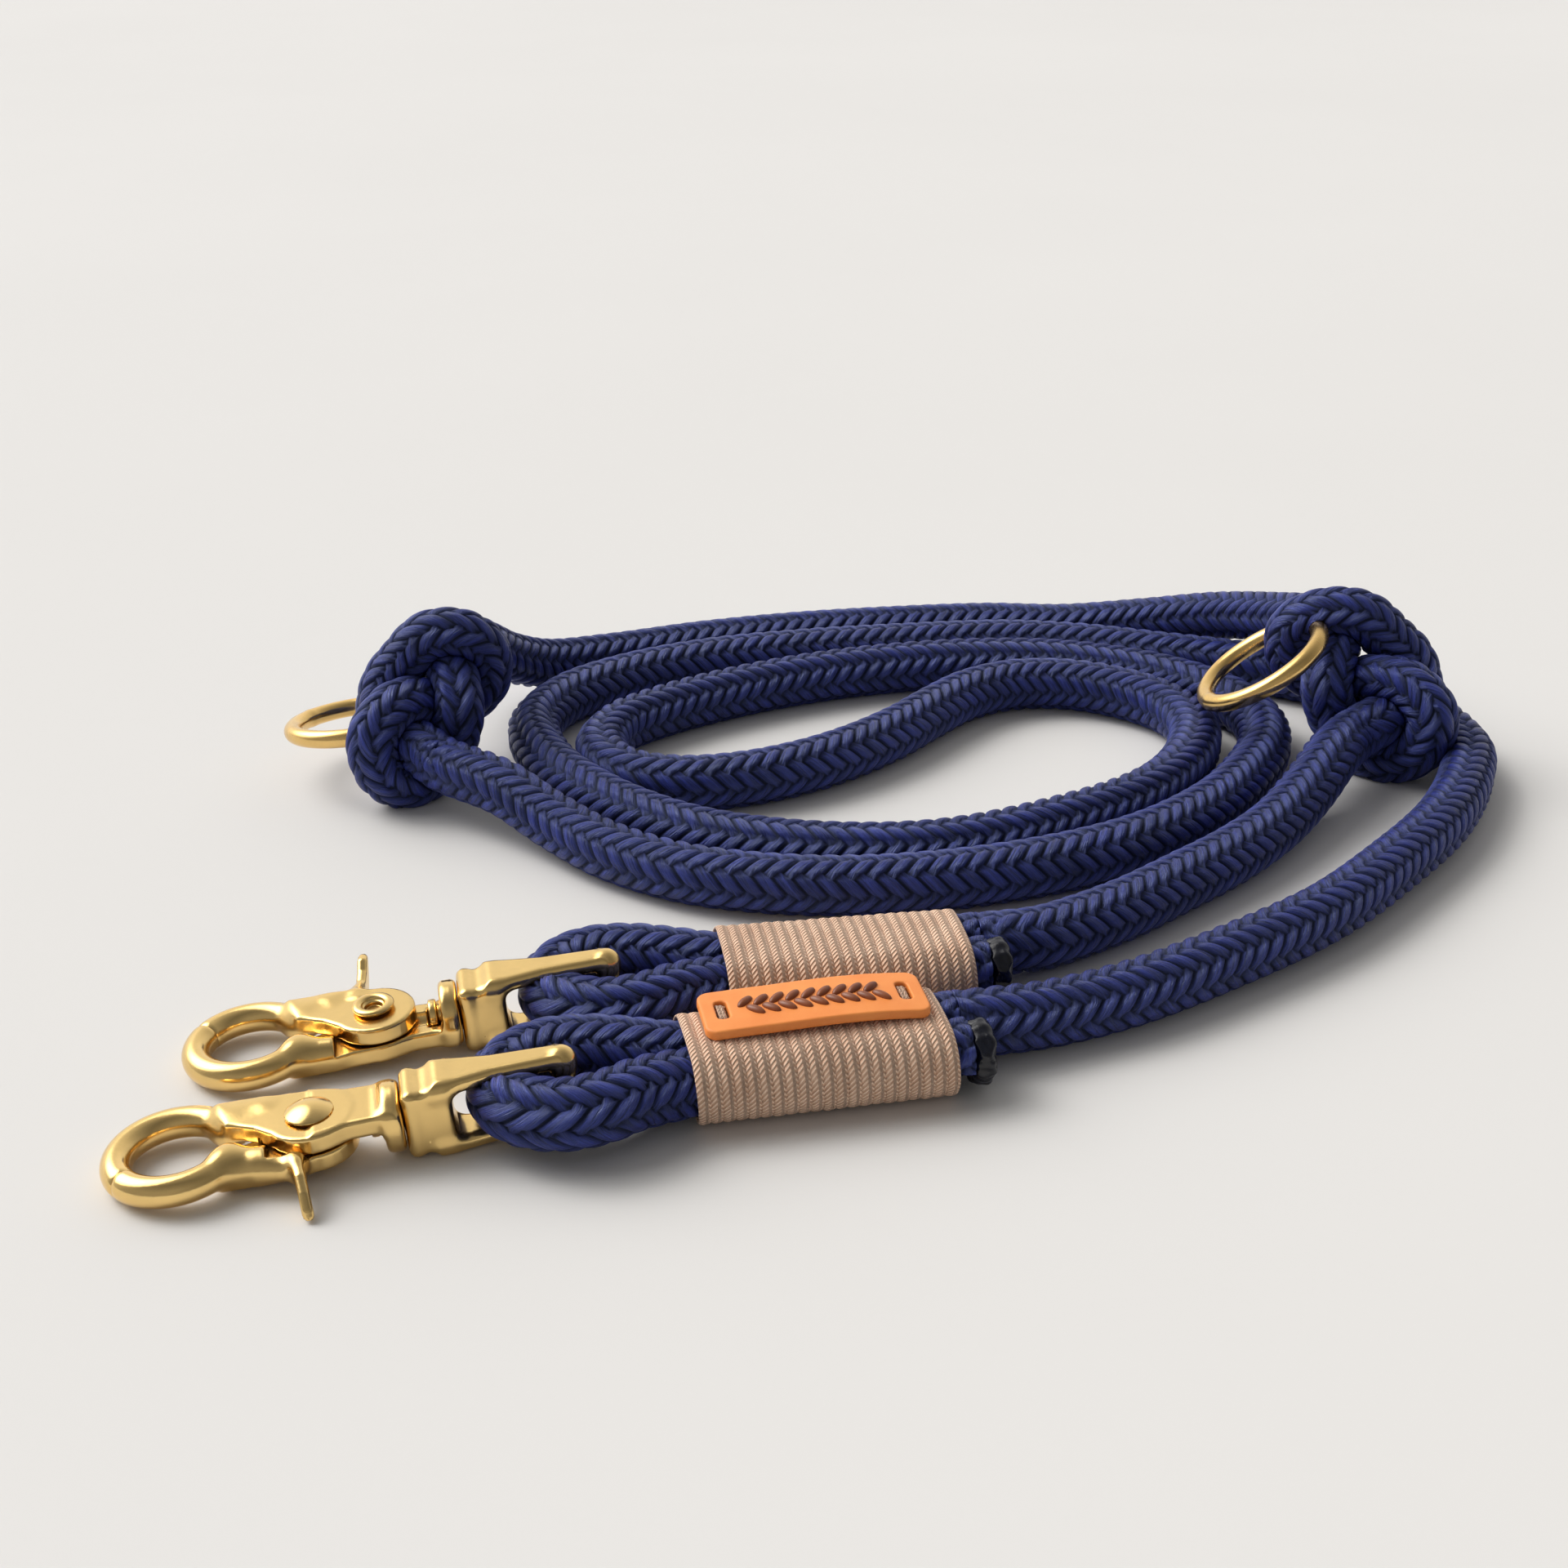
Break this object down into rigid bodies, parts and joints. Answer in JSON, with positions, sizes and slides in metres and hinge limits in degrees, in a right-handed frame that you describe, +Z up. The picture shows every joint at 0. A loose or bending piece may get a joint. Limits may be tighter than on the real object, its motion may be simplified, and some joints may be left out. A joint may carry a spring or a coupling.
{
  "type": "lead rope",
  "caption": "Braided lead rope lying coiled, with a trigger snap spliced and whipped into each end, knotted brass rings along it and a rubber label stitched to a whipping.",
  "frame": {"origin": "middle of the lead's bounding box, on the surface it lies on", "axes": "+Z up from the surface; the two snaps point towards -X; the whippings lie on the -Y side of the coil and the knots on the +Y side; +X runs along the coil's long way"},
  "size_m": [0.2714, 0.2494, 0.0367],
  "materials": {
    "rope": "navy blue plaited polypropylene, satin",
    "brass": "polished cast brass with light wear",
    "twine": "beige braided whipping twine, matt",
    "label": "orange moulded rubber, matt",
    "melted_rope": "rope end melted to a hard dark bead",
    "spring_steel": "bright spring wire"
  },
  "bodies": {
    "rope": {"rope_long": "rope", "rope_middle": "rope", "rope_short": "rope", "knot_left": "rope", "knot_right": "rope", "rope_eye_front": "rope", "rope_eye_rear": "rope", "whipping_front": "twine", "whipping_rear": "twine", "melted_end_front": "melted_rope", "melted_end_rear": "melted_rope", "label": "label", "label_stitch_left": "twine", "label_stitch_right": "twine"},
    "ring_left": {"ring_left": "brass"},
    "ring_right": {"ring_right": "brass"},
    "bow_front": {"bow_front": "brass"},
    "hook_front": {"hook_frame_front": "brass", "rivet_front": "brass"},
    "trigger_front": {"trigger_jaw_front": "brass", "trigger_spring_front": "spring_steel"},
    "bow_rear": {"bow_rear": "brass"},
    "hook_rear": {"hook_frame_rear": "brass", "rivet_rear": "brass"},
    "trigger_rear": {"trigger_jaw_rear": "brass", "trigger_spring_rear": "spring_steel"}
  },
  "joints": [
    {"name": "ring_left_turn", "type": "hinge", "parent": "rope", "child": "ring_left", "pos_m": [-0.11933, 0.04319, 0.013], "axis": [-0.1086, 0.1558, 0.9818], "continuous": true},
    {"name": "ring_right_turn", "type": "hinge", "parent": "rope", "child": "ring_right", "pos_m": [0.08467, 0.05368, 0.0225], "axis": [-0.5638, 0.0904, 0.821], "continuous": true},
    {"name": "bow_front_swing", "type": "hinge", "parent": "rope", "child": "bow_front", "pos_m": [-0.0603, -0.09555, 0.0086], "axis": [-0.0767, -0.0163, 0.9969], "range_deg": [-1.5, 12]},
    {"name": "snap_front_swivel", "type": "hinge", "parent": "bow_front", "child": "hook_front", "pos_m": [-0.08955, -0.10177, 0.00625], "axis": [0.9751, 0.2073, 0.0785], "continuous": true},
    {"name": "trigger_front_press", "type": "hinge", "parent": "hook_front", "child": "trigger_front", "pos_m": [-0.10086, -0.10417, 0.00534], "axis": [-0.0767, -0.0163, 0.9969], "range_deg": [0, 20], "stiffness_Nm_per_rad": 0.03, "springref_deg": -20.05},
    {"name": "bow_rear_swing", "type": "hinge", "parent": "rope", "child": "bow_rear", "pos_m": [-0.05522, -0.06394, 0.0086], "axis": [-0.077, -0.015, 0.9969], "range_deg": [-12, 1.5]},
    {"name": "snap_rear_swivel", "type": "hinge", "parent": "bow_rear", "child": "hook_rear", "pos_m": [-0.08457, -0.06965, 0.00625], "axis": [0.9786, 0.1902, 0.0785], "continuous": true},
    {"name": "trigger_rear_press", "type": "hinge", "parent": "hook_rear", "child": "trigger_rear", "pos_m": [-0.09593, -0.07185, 0.00534], "axis": [0.077, 0.015, -0.9969], "range_deg": [0, 20], "stiffness_Nm_per_rad": 0.03, "springref_deg": -20.05}
  ]
}
